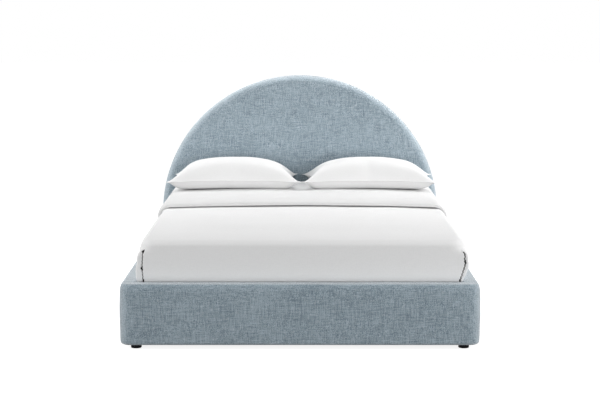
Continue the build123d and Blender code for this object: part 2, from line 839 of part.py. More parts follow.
mattress_form = mattress_block(0, mattress_bottom)
cover_inside = mattress_block(soft_gap, mattress_bottom - soft_gap)
cover_outside = mattress_block(cover_growth, deck_z + soft_gap)
fold_outside = mattress_block(cover_growth + corner_fold_thickness, box_top)
turndown_inside = mattress_block(turndown_growth, box_top)

with BuildPart() as mattress:
    add(mattress_form)
mattress.part.label = "mattress"
export_step(mattress.part, "parts/mattress.step")

# Bed cover: tight over the mattress, tucked in under it, with a mitred fold at each front corner
cover_front = mattress_front - cover_growth
cover_half_width = mattress_width / 2 + cover_growth
fold_bottom = box_top + soft_gap
fold_top = mattress_top - corner_fold_drop
with BuildPart() as corner_folds:
    add(fold_outside)
    box_between(
        (corner_fold_width - cover_half_width, cover_front - overrun, box_top - overrun),
        (
            cover_half_width - corner_fold_width,
            mattress_rear + overrun,
            mattress_top + mattress_edge_radius + overrun,
        ),
        Mode.SUBTRACT,
    )
    with BuildSketch(Plane.YZ.offset(-cover_half_width - overrun)):
        with BuildLine():
            Polyline(
                (cover_front - overrun, fold_bottom),
                (cover_front + corner_fold_length, fold_bottom),
                (cover_front + corner_fold_width, fold_top),
                (cover_front - overrun, fold_top),
                close=True,
            )
        make_face()
    extrude(amount=2 * (cover_half_width + overrun), mode=Mode.INTERSECT)

with BuildPart() as bed_cover:
    add(cover_outside)
    add(corner_folds.part)
    add(cover_inside, mode=Mode.SUBTRACT)
    box_between(
        (cover_tuck - mattress_width / 2, mattress_front + cover_tuck, deck_z - overrun),
        (mattress_width / 2 - cover_tuck, mattress_rear - cover_tuck, mattress_bottom),
        Mode.SUBTRACT,
    )
bed_cover.part.label = "bed_cover"
export_step(bed_cover.part, "parts/bed_cover.step")

# The band of the cover that is folded back in front of the pillows, with a soft front roll
turndown_front = front_y + turndown_setback
turndown_rear = mattress_rear - mattress_edge_radius
turndown_hem = box_top + turndown_hem_gap
roll_sections = []
for angle in end_angles:
    setback = turndown_roll * (1 - math.cos(math.radians(angle)))
    growth = turndown_growth + turndown_thickness * math.sin(math.radians(angle))
    roll_sections.append(bed_section(turndown_front + setback, growth, turndown_hem))
roll_sections.append(
    bed_section(turndown_rear, turndown_growth + turndown_thickness, turndown_hem)
)
with BuildPart() as cover_turndown:
    loft(roll_sections, ruled=True)
    add(turndown_inside, mode=Mode.SUBTRACT)
cover_turndown.part.label = "cover_turndown"
export_step(cover_turndown.part, "parts/cover_turndown.step")


# Pillows: plump, with a knife-edge seam, pointed corners and drawn-in sides
def crown_height(across):
    """Height of the bed's crowned top over its shoulders, at a distance from the middle."""
    reach = mattress_width / 2 - mattress_edge_radius
    radius = (reach**2 + mattress_crown**2) / (2 * mattress_crown)
    return math.sqrt(radius**2 - across**2) - (radius - mattress_crown)


def pillow_section(middle_x, middle_y, height, inset, bulge):
    """A four-sided outline of arcs; a negative bulge draws its sides in."""
    reach_x = pillow_width / 2 - inset
    reach_y = pillow_depth / 2 - inset
    corners = [(reach_x, -reach_y), (reach_x, reach_y), (-reach_x, reach_y), (-reach_x, -reach_y)]
    middles = [(reach_x + bulge, 0), (0, reach_y + bulge), (-reach_x - bulge, 0), (0, -reach_y - bulge)]
    with BuildSketch(Plane((middle_x, middle_y, height))) as section:
        with BuildLine():
            for start, middle, end in zip(corners, middles, corners[1:] + corners[:1]):
                ThreePointArc(start, middle, end)
        make_face()
    return section.sketch.face()


pillow_middle_y = headboard_front - pillow_head_gap - pillow_depth / 2
pillow_reach = (pillow_width + pillow_gap) / 2
for side_name, side in side_signs.items():
    middle_x = side * pillow_reach + pillow_pair_shift
    flat_reach = pillow_width / 2 - pillow_inset_shares[-1] * pillow_depth / 2
    nearest = max(abs(middle_x) - flat_reach, 0)
    bed_top = mattress_top + turndown_growth + turndown_thickness + crown_height(nearest)
    pillow_bottom = bed_top + soft_gap
    seam_z = pillow_bottom + pillow_height * pillow_seam_share
    with BuildPart() as pillow:
        for rise in (pillow_bottom - seam_z, pillow_bottom + pillow_height - seam_z):
            loft([
                pillow_section(
                    middle_x,
                    pillow_middle_y,
                    seam_z + rise * rise_share,
                    inset_share * pillow_depth / 2,
                    bulge_share * pillow_depth,
                )
                for rise_share, inset_share, bulge_share in zip(
                    pillow_rise_shares, pillow_inset_shares, pillow_bulge_shares
                )
            ])
    pillow.part.label = f"pillow_{side_name}"
    export_step(pillow.part, f"parts/pillow_{side_name}.step")
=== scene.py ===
import math

import bmesh
import bpy
import numpy as np
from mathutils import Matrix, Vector, noise
from mathutils.kdtree import KDTree


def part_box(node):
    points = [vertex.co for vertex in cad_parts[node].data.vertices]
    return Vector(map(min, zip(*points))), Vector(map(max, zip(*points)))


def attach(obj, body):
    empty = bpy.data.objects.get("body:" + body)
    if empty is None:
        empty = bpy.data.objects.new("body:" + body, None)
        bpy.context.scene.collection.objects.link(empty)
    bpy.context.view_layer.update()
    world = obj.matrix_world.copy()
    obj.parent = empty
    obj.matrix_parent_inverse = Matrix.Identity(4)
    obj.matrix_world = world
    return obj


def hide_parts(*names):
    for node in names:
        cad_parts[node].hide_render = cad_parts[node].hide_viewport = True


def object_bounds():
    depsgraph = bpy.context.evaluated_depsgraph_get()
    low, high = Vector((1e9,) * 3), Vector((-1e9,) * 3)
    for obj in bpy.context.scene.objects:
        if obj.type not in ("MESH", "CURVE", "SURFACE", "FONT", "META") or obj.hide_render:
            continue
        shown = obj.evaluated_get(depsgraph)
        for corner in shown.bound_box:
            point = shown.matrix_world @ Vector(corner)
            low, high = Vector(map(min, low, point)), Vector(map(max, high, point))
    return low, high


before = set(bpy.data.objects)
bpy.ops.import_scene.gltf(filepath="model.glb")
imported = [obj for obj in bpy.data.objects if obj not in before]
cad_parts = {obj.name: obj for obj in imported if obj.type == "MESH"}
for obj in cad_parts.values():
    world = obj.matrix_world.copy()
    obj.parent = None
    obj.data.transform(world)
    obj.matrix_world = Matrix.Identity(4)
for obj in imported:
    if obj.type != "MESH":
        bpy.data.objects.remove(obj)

cad_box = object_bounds()
scene = bpy.context.scene

# Camera: in front of the foot end, looking slightly down
lens_mm = 85
sensor_mm = 36
camera_distance = 6.53
camera_height = 1.5585
camera_pitch = 0.1289  # radians

camera_data = bpy.data.cameras.new("camera")
camera_data.lens = lens_mm
camera_data.sensor_width = sensor_mm
camera = bpy.data.objects.new("camera", camera_data)
camera.location = (0, cad_box[0][1] - camera_distance, camera_height)
camera.rotation_euler = (math.pi / 2 - camera_pitch, 0, 0)
scene.collection.objects.link(camera)
scene.camera = camera


# Materials
def lengthwise(axis, length, width):
    """Feature lengths for x, y and z that are long along one axis only."""
    return [length if index == axis else width for index in range(3)]


def darkened(colour, share):
    return tuple(channel * share for channel in colour)


class Finish:
    """A material's node tree, with short calls for its nodes. Lengths are in metres."""

    def __init__(self, name, roughness, metallic=0.0, specular=0.5, sheen=0.0, sheen_roughness=0.5,
                 sheen_tint=(1, 1, 1)):
        self.material = bpy.data.materials.new(name)
        self.material.use_nodes = True
        self.tree = self.material.node_tree
        self.shader = self.tree.nodes["Principled BSDF"]
        self.fill(self.shader, {
            "Roughness": roughness, "Metallic": metallic, "Specular IOR Level": specular,
            "Sheen Weight": sheen, "Sheen Roughness": sheen_roughness, "Sheen Tint": sheen_tint,
        })
        coordinates = self.tree.nodes.new("ShaderNodeTexCoord")
        self.place = coordinates.outputs["Object"]
        self.normal = coordinates.outputs["Normal"]

    def feed(self, socket, value):
        """Links a socket to another node's output, or sets its number, vector or colour."""
        if isinstance(value, bpy.types.NodeSocket):
            self.tree.links.new(value, socket)
        else:
            socket.default_value = (*value, 1) if socket.type == "RGBA" else value

    def fill(self, node, values):
        for label, value in values.items():
            self.feed(node.inputs[label], value)

    def node(self, kind, *values, **settings):
        """The outputs of a new node whose first inputs take the values."""
        node = self.tree.nodes.new(kind)
        for label, setting in settings.items():
            setattr(node, label, setting)
        for socket, value in zip(node.inputs, values):
            self.feed(socket, value)
        return node.outputs

    def math(self, operation, first, second=0.0, third=0.0):
        return self.node("ShaderNodeMath", first, second, third, operation=operation)[0]

    def vector(self, operation, first, second):
        return self.node("ShaderNodeVectorMath", first, second, operation=operation)[0]

    def parts(self, vector):
        return list(self.node("ShaderNodeSeparateXYZ", vector))

    def noise(self, lengths, detail, roughness=0.5, distortion=0.0):
        """Noise whose features are about as long as lengths: one number, or one for each axis."""
        node = self.tree.nodes.new("ShaderNodeTexNoise")
        scale = [1 / float(length) for length in np.broadcast_to(lengths, 3)]
        self.fill(node, {
            "Vector": self.vector("MULTIPLY", self.place, scale), "Scale": 1, "Detail": detail,
            "Roughness": roughness, "Distortion": distortion,
        })
        return node.outputs[0]

    def blend(self, share, first, second):
        """A mix of two colours, where a share of 1 gives the second one."""
        node = self.tree.nodes.new("ShaderNodeMix")
        node.data_type = "RGBA"
        for index, value in ((0, share), (6, first), (7, second)):
            self.feed(node.inputs[index], value)
        return node.outputs[2]

    def spread(self, value, low, high, to_low=0.0, to_high=1.0):
        """Maps the range from low to high softly onto another one, and stays inside that."""
        return self.node("ShaderNodeMapRange", value, low, high, to_low, to_high,
                         interpolation_type="SMOOTHSTEP")[0]

    def colour(self, value):
        self.feed(self.shader.inputs["Base Color"], value)

    def mottle(self, pattern, dark, pale, low=0.35, high=0.65):
        """Colours the surface by a pattern: dark where it is low, pale where it is high."""
        self.colour(self.blend(self.spread(pattern, low, high), dark, pale))

    def wear(self, pattern, at_low, at_high):
        """Makes the roughness follow a pattern."""
        self.feed(self.shader.inputs["Roughness"], self.spread(pattern, 0.3, 0.7, at_low, at_high))

    def bump(self, height, depth, strength):
        """Adds relief to what the shader's normal has already."""
        node = self.tree.nodes.new("ShaderNodeBump")
        self.fill(node, {"Strength": strength, "Distance": depth, "Height": height})
        socket = self.shader.inputs["Normal"]
        if socket.is_linked:
            self.feed(node.inputs["Normal"], socket.links[0].from_socket)
        self.feed(socket, node.outputs[0])

    def facing(self):
        """How much a face looks along x, y and z, as shares that add up to 1."""
        return self.parts(self.vector("MULTIPLY", self.normal, self.normal))

    def weave(self, pitch):
        """Over-and-under pattern of a plain weave on the faces across each axis."""
        turns = [self.math("SINE", self.math("MULTIPLY", part, math.pi / pitch)) for part in self.parts(self.place)]
        total = 0.0
        for axis, share in enumerate(self.facing()):
            checks = self.math("MULTIPLY", turns[(axis + 1) % 3], turns[(axis + 2) % 3])
            total = self.math("MULTIPLY_ADD", checks, share, total)
        return total

    def threads(self, length, width, detail, weights=(1, 1, 1)):
        """Slubs along the threads that lie in each face: those along x, y and z."""
        total = 0.0
        for axis, share in enumerate(self.facing()):
            slubs = self.noise(lengthwise(axis, length, width), detail)
            lies_in = self.math("MULTIPLY", self.math("SUBTRACT", 1.0, share), weights[axis])
            total = self.math("MULTIPLY_ADD", slubs, lies_in, total)
        return self.math("MULTIPLY", total, 0.5)


def upholstery_finish():
    finish = Finish("blue_grey_linen_weave", roughness=0.9, specular=0.25, sheen=1.0, sheen_roughness=0.66,
                    sheen_tint=(0.95, 0.98, 1.0))
    width, weights = 0.0024, (0.95, 1.0, 1.08)
    slubs = finish.threads(0.050, width, 0, weights)
    grain = finish.noise(0.0021, 0)
    weave = finish.weave(0.0028)
    cloud = finish.noise((0.26, 0.26, 0.20), 1)
    tone = finish.math("MULTIPLY", grain, 1.7)
    for pattern, weight in ((slubs, 1.45), (weave, 0.04), (cloud, 0.34)):
        tone = finish.math("MULTIPLY_ADD", pattern, weight, tone)
    thread = finish.blend(finish.spread(tone, 1.39, 2.11), (0.080, 0.140, 0.186), (0.386, 0.482, 0.546))
    flecks = finish.spread(finish.threads(0.020, width, 0, weights), 0.59, 0.72)
    finish.colour(finish.blend(finish.math("MULTIPLY", flecks, 0.4), thread, (0.68, 0.74, 0.78)))
    finish.wear(slubs, 0.95, 0.82)
    finish.bump(weave, 0.0005, 0.6)
    finish.bump(tone, 0.0016, 0.7)
    return finish.material


def cotton_finish(name, grey, pitch):
    finish = Finish(name, roughness=0.85, specular=0.25, sheen=0.12)
    threads = finish.threads(0.012, 0.0012, 2)
    finish.mottle(threads, (grey * 0.955,) * 3, (grey,) * 3)
    finish.wear(threads, 0.9, 0.8)
    finish.bump(finish.weave(pitch), 0.0002, 0.5)
    finish.bump(threads, 0.0003, 0.5)
    finish.bump(finish.noise((0.09, 0.06, 0.09), 4, 0.55, 0.6), 0.004, 0.25)
    return finish.material


# Near-black cloth for the deep inside of the cover's corner folds: painted shade, standing in for the shadow in the
# open folds
def painted_fold_shade_finish():
    finish = Finish("near_black_painted_fold_shade", roughness=0.95, specular=0.1)
    finish.mottle(finish.threads(0.010, 0.0012, 1), (0.010, 0.010, 0.011), (0.022, 0.022, 0.024))
    finish.bump(finish.weave(0.0012), 0.0002, 0.5)
    return finish.material


def ticking_finish():
    finish = Finish("quilted_ticking", roughness=0.85, specular=0.3, sheen=0.15)
    x, y, z = finish.parts(finish.place)
    quilting = []
    for sign in (1, -1):
        across = finish.math("MULTIPLY_ADD", y, sign, finish.math("ADD", x, z))
        wave = finish.math("SINE", finish.math("MULTIPLY", across, math.pi / 0.085))
        quilting.append(finish.math("POWER", finish.math("ABSOLUTE", wave), 0.35))
    finish.mottle(finish.threads(0.01, 0.001, 2), (0.70, 0.70, 0.68), (0.80, 0.80, 0.78))
    finish.bump(finish.weave(0.0016), 0.0003, 0.5)
    finish.bump(finish.math("MINIMUM", *quilting), 0.006, 0.8)
    return finish.material


def dust_cloth_finish():
    finish = Finish("non_woven_dust_cloth", roughness=0.95, specular=0.2, sheen=0.1)
    fibres = finish.noise(0.004, 5, 0.7, 1.0)
    finish.mottle(fibres, (0.022, 0.022, 0.026), (0.045, 0.045, 0.052))
    finish.wear(fibres, 1.0, 0.85)
    finish.bump(finish.weave(0.0022), 0.0004, 0.6)
    finish.bump(fibres, 0.0006, 0.5)
    return finish.material


def wood_finish(name, axis, pale, dark, layers_axis=None, roughness=0.6):
    """Grain along one axis; with layers_axis, the edges show the plies stacked along it."""
    finish = Finish(name, roughness=roughness, specular=0.4)
    rings = finish.noise(lengthwise(axis, 0.35, 0.012), 5, 0.55, 0.4)
    pores = finish.noise(lengthwise(axis, 0.02, 0.0012), 2)
    grain = finish.blend(finish.spread(rings, 0.35, 0.65), dark, pale)
    grain = finish.blend(finish.spread(pores, 0.28, 0.4, 0.35, 0.0), grain, darkened(dark, 0.45))
    if layers_axis is not None:
        through = finish.parts(finish.place)[layers_axis]
        stripes = finish.math("SINE", finish.math("MULTIPLY", through, math.pi / 0.0012))
        facing = finish.math("ABSOLUTE", finish.parts(finish.normal)[layers_axis])
        edge = finish.math("MULTIPLY", finish.spread(facing, 0.4, 0.6, 1, 0),
                           finish.spread(stripes, -0.2, 0.2, 0, 0.6))
        grain = finish.blend(edge, grain, darkened(dark, 0.5))
    finish.colour(grain)
    finish.wear(rings, roughness + 0.12, roughness - 0.08)
    finish.bump(rings, 0.0006, 0.3)
    finish.bump(pores, 0.0003, 0.4)
    return finish.material


def powder_coat_finish():
    finish = Finish("black_powder_coat", roughness=0.42, specular=0.5)
    patches = finish.noise(0.03, 3)
    finish.mottle(patches, (0.016, 0.016, 0.018), (0.028, 0.028, 0.03), 0.3, 0.7)
    finish.wear(patches, 0.5, 0.36)
    finish.bump(finish.noise(0.0016, 3), 0.0004, 0.4)
    return finish.material


def zinc_finish():
    finish = Finish("zinc_plated_steel", roughness=0.35, metallic=1.0)
    brushed = finish.noise((0.02, 0.0012, 0.0012), 3)
    finish.mottle(finish.noise(0.006, 3), (0.50, 0.51, 0.53), (0.68, 0.68, 0.67), 0.3, 0.7)
    finish.wear(brushed, 0.28, 0.46)
    finish.bump(brushed, 0.0002, 0.3)
    return finish.material


def foot_finish():
    finish = Finish("moulded_black_plastic", roughness=0.6, specular=0.06)
    scuffs = finish.noise((0.02, 0.02, 0.006), 4, 0.6)
    finish.mottle(scuffs, (0.002, 0.0025, 0.003), (0.005, 0.006, 0.007), 0.4, 0.75)
    finish.wear(scuffs, 0.58, 0.44)
    finish.bump(finish.noise(0.0012, 2), 0.0003, 0.4)
    return finish.material


upholstery = upholstery_finish()
white_bedding = cotton_finish("white_percale", 0.84, 0.0012)
band_cotton = cotton_finish("white_sheet_cotton", 0.70, 0.0012)
pillow_cotton = cotton_finish("white_pillow_cotton", 0.75, 0.001)
painted_fold_shade = painted_fold_shade_finish()
ticking = ticking_finish()
dust_cloth = dust_cloth_finish()
powder_coat = powder_coat_finish()
zinc = zinc_finish()
foot_plastic = foot_finish()
pine_along_x, pine_along_y, pine_along_z = (
    wood_finish("pine_" + "xyz"[axis], axis, (0.72, 0.53, 0.33), (0.55, 0.36, 0.19)) for axis in range(3)
)
plywood_across_x, plywood_across_y = (
    wood_finish("plywood_layers_" + "xy"[axis], 1 - axis, (0.68, 0.51, 0.32), (0.52, 0.36, 0.2), axis)
    for axis in range(2)
)
birch = wood_finish("birch_slat", 0, (0.78, 0.62, 0.42), (0.64, 0.47, 0.29), 2, 0.45)

# What the names of the CAD's own nodes start with; the first finish that fits is taken
cad_finishes = [
    (zinc, ("foot_beam_hanger", "head_beam_hanger", "bracket_bolts", "threaded_inserts", "frame_screws",
            "slat_screws")),
    (powder_coat, ("centre_leg_", "corner_bracket_")),
    (foot_plastic, ("levelling_glide_", "foot_front_", "foot_rear_")),
    (plywood_across_x, ("left_rail_face_panel", "left_rail_inner_panel", "right_rail_face_panel",
                        "right_rail_inner_panel")),
    (plywood_across_y, ("foot_rail_face_panel", "foot_rail_inner_panel", "headboard_panel",
                        "headboard_lower_board")),
    (pine_along_x, ("foot_rail_frame",)),
    (pine_along_y, ("left_rail_frame", "right_rail_frame", "left_slat_ledger", "right_slat_ledger", "centre_beam")),
    (pine_along_z, ("headboard_frame",)),
    (birch, ("slat_",)),
]
for name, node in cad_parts.items():
    finish = next((finish for finish, starts in cad_finishes if name.startswith(starts)), None)
    if finish:
        for material_slot in node.material_slots:
            material_slot.material = finish


# Mesh tools
def piece_of(name, points, faces, material, body, stands_for=()):
    """A smooth mesh made from points and faces, joined where its points meet."""
    mesh = bpy.data.meshes.new(name)
    mesh.from_pydata([tuple(point) for point in points], [], faces)
    work = bmesh.new()
    work.from_mesh(mesh)
    bmesh.ops.remove_doubles(work, verts=work.verts, dist=0.00002)
    bmesh.ops.dissolve_degenerate(work, edges=work.edges, dist=0.00001)
    bmesh.ops.recalc_face_normals(work, faces=work.faces)
    work.to_mesh(mesh)
    work.free()
    mesh.materials.append(material)
    mesh.polygons.foreach_set("use_smooth", [True] * len(mesh.polygons))
    piece = bpy.data.objects.new(name, mesh)
    scene.collection.objects.link(piece)
    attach(piece, body)
    if stands_for:
        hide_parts(*stands_for)
    return piece


def read_vectors(items, label):
    flat = np.empty(len(items) * 3)
    items.foreach_get(label, flat)
    return flat.reshape(-1, 3)


def read_piece(piece):
    """A piece's points and the normals there."""
    return read_vectors(piece.data.vertices, "co"), read_vectors(piece.data.vertex_normals, "vector")


def write_points(piece, points):
    piece.data.vertices.foreach_set("co", np.asarray(points, dtype=float).ravel())
    piece.data.update()


def thicken(piece, thickness, offset):
    modifier = piece.modifiers.new("thickness", "SOLIDIFY")
    modifier.thickness = thickness
    modifier.offset = offset


def ripple(points, lengths, seed, octaves=2):
    """Smooth noise from about -1 to 1 at each point, with features as long as lengths, in metres."""
    places = np.asarray(points) / lengths + 17.3 * seed
    return np.array([noise.fractal(Vector(place), 1.0, 2.0, octaves) for place in places])


def smooth_step(value, low, high):
    share = np.clip((np.asarray(value, dtype=float) - low) / (high - low), 0, 1)
    return share * share * (3 - 2 * share)


def quarter_turn(count, start=0.0):
    """Cosine and sine at the start and after each of count steps of a quarter turn."""
    angles = [start + math.pi / 2 * number / count for number in range(count + 1)]
    return [(math.cos(angle), math.sin(angle)) for angle in angles]


def outline_of(x0, x1, y0, y1, radii, step):
    """Points and outward normals round a rectangle with rounded corners, anticlockwise.

    radii are those of the corners at (x0, y0), (x1, y0), (x1, y1) and (x0, y1). Opposite sides
    are divided at the same places.
    """
    largest = max(radii)
    corners = [(x0, y0, 1, 1, math.pi), (x1, y0, -1, 1, 1.5 * math.pi), (x1, y1, -1, -1, 0),
               (x0, y1, 1, -1, 0.5 * math.pi)]
    points, normals = [], []
    for index, (x, y, side_x, side_y, first_angle) in enumerate(corners):
        radius = radii[index]
        centre = (x + side_x * radius, y + side_y * radius)
        count = max(4, math.ceil(radius * math.pi / 2 / min(step, max(radius * 0.2, 0.002))))
        for across, up in quarter_turn(count, first_angle):
            normals.append((across, up))
            points.append((centre[0] + radius * across, centre[1] + radius * up))
        along = index % 2
        start = np.array(points[-1])
        following = (index + 1) % 4
        next_x, next_y, next_side_x, next_side_y, _ = corners[following]
        end = (next_x + next_side_x * radii[following] * (1 - along), next_y + next_side_y * radii[following] * along)
        lows, highs = (x0, y0)[along], (x1, y1)[along]
        cuts = [start[along], end[along]]
        for cut in (lows + largest, highs - largest):
            if min(cuts[:2]) + 1e-5 < cut < max(cuts[:2]) - 1e-5 and abs(highs - lows) >= 2 * largest - 1e-9:
                cuts.append(cut)
        cuts = sorted({round(cut, 7) for cut in cuts}, reverse=bool(start[along] > end[along]))
        normal = normals[-1]
        for low, high in zip(cuts, cuts[1:]):
            pieces = max(1, math.ceil(abs(high - low) / step - 1e-6))
            for number in range(1, pieces + 1):
                place = start.copy()
                place[along] = low + (high - low) * number / pieces
                points.append(tuple(place))
                normals.append(normal)
        points.pop()
        normals.pop()
    return np.array(points), np.array(normals)


def shell_rows(low, high, low_radius, high_radius, step, low_caps, high_caps):
    """Rows of (inset, height, share of the way in to the core), from the low face to the high one."""
    rows = [(low_radius, low, 1 - number / low_caps) for number in range(low_caps)]
    rows += [(low_radius * (1 - y), low + low_radius * (1 - x), 0) for x, y in quarter_turn(7)]
    side = high - high_radius - low - low_radius
    count = max(2, math.ceil(side / step))
    rows += [(0, low + low_radius + side * number / count, 0) for number in range(1, count)]
    rows += [(high_radius * (1 - x), high - high_radius * (1 - y), 0) for x, y in quarter_turn(7)]
    rows += [(high_radius, high, number / high_caps) for number in range(1, high_caps + 1)]
    return rows


def shell_points(outline, normals, rows, core):
    """Points of a closed form: rows of the outline, drawn in towards a core at both faces."""
    targets = np.column_stack([np.clip(outline[:, axis], *core[axis]) for axis in range(2)])
    grid = []
    for inset, height, share in rows:
        flat = (outline - normals * inset) * (1 - share) + targets * share
        grid.append(np.column_stack([flat, np.full(len(flat), height)]))
    return np.array(grid)


def grid_faces(rows, columns):
    """Faces between rows of points, each row closed in itself."""
    return [
        (row * columns + column, row * columns + (column + 1) % columns,
         (row + 1) * columns + (column + 1) % columns, (row + 1) * columns + column)
        for row in range(rows - 1) for column in range(columns)
    ]


def grid_piece(name, grid, material, body, stands_for):
    """A piece made from rows of points, with its points and normals."""
    piece = piece_of(name, grid.reshape(-1, 3), grid_faces(*grid.shape[:2]), material, body, stands_for)
    return (piece, *read_piece(piece))


# Upholstered rails: a soft crown on the outer faces, flat faces inside the box
rail_top_radius = 0.005
rail_bottom_radius = 0.014
rail_step = 0.014
rail_row_step = 0.007
rail_crown = 0.003
rail_top_crown = 0.0015
shoulder_height = 0.036
shoulder_inset = 0.008
box_half = 0.775


def rail(part, radii, outer_faces):
    low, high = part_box(part + "_cover")
    middle, half = (low + high) / 2, (high - low) / 2
    across = 1 if half.x > half.y else 0
    outline, normals = outline_of(low.x, high.x, low.y, high.y, radii, rail_step)
    rows = shell_rows(low.z, high.z, rail_bottom_radius, rail_top_radius, rail_row_step, 2, 3)
    core = [(low[axis] + half[across], high[axis] - half[across]) for axis in range(2)]
    grid = shell_points(outline, normals, rows, core)
    piece, points, facing = grid_piece(part + "_upholstery", grid, upholstery, "bed_frame",
                                       (part + "_cover", part + "_foam"))
    outward = np.zeros(len(points))
    for face in outer_faces:
        outward = np.maximum(outward, facing @ np.array(face))
    rise = (points[:, 2] - middle.z) / half.z
    crown = rail_crown * (1 - rise ** 2) * np.clip(outward, 0, 1)
    top = rail_top_crown * smooth_step(facing[:, 2], 0.6, 1)
    soft = 0.0009 * ripple(points, (0.16, 0.16, 0.10), 1) + 0.0005 * ripple(points, (0.05, 0.05, 0.03), 2)
    soft = soft * smooth_step(np.maximum(outward, facing[:, 2]), 0.1, 0.6)
    points = points + facing * (crown + top + soft)[:, None]
    shoulder = shoulder_inset * np.clip(1 - (high.z - points[:, 2]) / shoulder_height, 0, 1) ** 2
    offset = points[:, across] - middle[across]
    if across == 1:
        points[:, 0] *= 1 - shoulder / high.x
        beside_mattress = smooth_step(box_half - np.abs(points[:, 0]), 0, 0.02)
        shoulder = np.where(offset > 0, shoulder * beside_mattress, shoulder)
    points[:, across] -= offset / half[across] * shoulder
    write_points(piece, points)


rail("foot_rail", (0.050, 0.050, 0.005, 0.005), [(0, -1, 0), (1, 0, 0), (-1, 0, 0)])
rail("left_rail", (0.005,) * 4, [(-1, 0, 0)])
rail("right_rail", (0.005,) * 4, [(1, 0, 0)])

# Headboard: a padded half-round arch with a soft front rim
low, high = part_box("headboard_cover")
headboard_front_radius = 0.046
headboard_back_radius = 0.010
headboard_foot_radius = 0.014
headboard_crown = 0.004
arch_radius = (high.x - low.x) / 2
arch_step = 0.016
arch_core = ((0, 0), (0.35, 0.50))


def from_arch_centre(points):
    """Distance from the arch's centre; below that, from the middle line."""
    return np.hypot(points[:, 0], np.maximum(points[:, 2] - (high.z - arch_radius), 0))


outline, normals = outline_of(
    low.x, high.x, low.z, high.z, (headboard_foot_radius, headboard_foot_radius, arch_radius, arch_radius), arch_step
)
rows = shell_rows(0, high.y - low.y, headboard_back_radius, headboard_front_radius, 0.012, 12, 40)
grid = shell_points(outline, normals, rows, arch_core)
placed = np.stack([grid[..., 0], high.y - grid[..., 2], grid[..., 1]], axis=-1)
headboard, points, facing = grid_piece("headboard_upholstery", placed, upholstery, "bed_frame",
                                       ("headboard_cover", "headboard_foam"))
rim_distance = np.minimum(arch_radius - from_arch_centre(points), points[:, 2] - low.z)
crown = headboard_crown * smooth_step(-facing[:, 1], 0.3, 1) * smooth_step(rim_distance, 0.01, 0.22)
soft = 0.0012 * ripple(points, (0.22, 0.22, 0.18), 3) + 0.0005 * ripple(points, (0.06, 0.06, 0.05), 4)
soft = soft * smooth_step(-facing[:, 1], -0.3, 0.3)
write_points(headboard, points + facing * (crown + soft)[:, None])

# Dust cloth over the back of the headboard, held by staples
cloth_gap = 0.0003
cloth_thickness = 0.0008
cloth_corner_radius = 0.012
inset = -low.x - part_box("headboard_dust_cover")[1].x
cloth_radius = arch_radius - inset
cloth_outline, cloth_normals = outline_of(
    -cloth_radius, cloth_radius, low.z + inset, high.z - inset,
    (cloth_corner_radius, cloth_corner_radius, cloth_radius, cloth_radius), 0.018,
)
cloth_rows = [(0.0, 0.0, share) for share in np.linspace(0, 1, 34)]
grid = shell_points(cloth_outline, cloth_normals, cloth_rows, arch_core)
placed = np.stack([grid[..., 0], high.y + cloth_gap + grid[..., 2], grid[..., 1]], axis=-1)
back_cloth, points, _ = grid_piece("headboard_back_cloth", placed, dust_cloth, "bed_frame",
                                   ("headboard_dust_cover",))
from_edge = np.minimum(cloth_radius - from_arch_centre(points), points[:, 2] - low.z - inset)
slack = smooth_step(from_edge, 0.0, 0.12)
points[:, 1] += 0.0022 * slack + 0.0012 * slack * ripple(points, 0.3, 5)
points[:, 1] += 0.0006 * (1 - slack) * (1 + ripple(points, 0.03, 6, 1))
write_points(back_cloth, points)
thicken(back_cloth, cloth_thickness, 1)

staple_length = 0.011
staple_wire = 0.0012
staple_inset = 0.009
staple_spacing = 0.07
staple_stations = ((-0.5, -0.0012), (-0.5, 0.0002), (-0.44, 0.0007), (0.44, 0.0007), (0.5, 0.0002), (0.5, -0.0012))
points, faces = [], []
walk = np.vstack([cloth_outline, cloth_outline[:1]])
lengths = np.concatenate([[0], np.cumsum(np.hypot(*np.diff(walk, axis=0).T))])
count = round(lengths[-1] / staple_spacing)
for number in range(count):
    at = (number + 0.5) * lengths[-1] / count
    index = min(np.searchsorted(lengths, at) - 1, len(cloth_outline) - 1)
    outward = cloth_normals[index]
    middle = cloth_outline[index] - outward * staple_inset
    tilt = 0.25 * noise.noise(Vector((number * 0.7, 0.3, 0.9)))
    along = np.array([-outward[1] * math.cos(tilt) - outward[0] * math.sin(tilt),
                      outward[0] * math.cos(tilt) - outward[1] * math.sin(tilt)])
    across = np.array([-along[1], along[0]])
    start = len(points)
    for share, rise in staple_stations:
        for side_share, lift in ((-0.5, 0), (0.5, 0), (0.5, 1), (-0.5, 1)):
            flat = middle + along * share * (staple_length + lift * staple_wire) + across * side_share * staple_wire
            points.append((flat[0], high.y + cloth_gap + cloth_thickness + rise + lift * staple_wire * 0.6, flat[1]))
    faces += [tuple(start + index for index in face) for face in grid_faces(len(staple_stations), 4)]
    last = start + 4 * (len(staple_stations) - 1)
    faces += [tuple(range(start, start + 4)), tuple(range(last, last + 4))]
staples = piece_of("back_cloth_staples", points, faces, zinc, "bed_frame")
staples.data.polygons.foreach_set("use_smooth", [False] * len(staples.data.polygons))

# The made-up mattress leans a little to the right above the rails
lean_reach = 0.013


def lean(points):
    """Moves the points above the rails to the right, by the same amount in all the bedding."""
    points[:, 0] += lean_reach * smooth_step(points[:, 2], 0.315, 0.40)


foot_face = -1.0303
droop_reach = 0.17
droop_depth = 0.022
waist_depth = 0.012


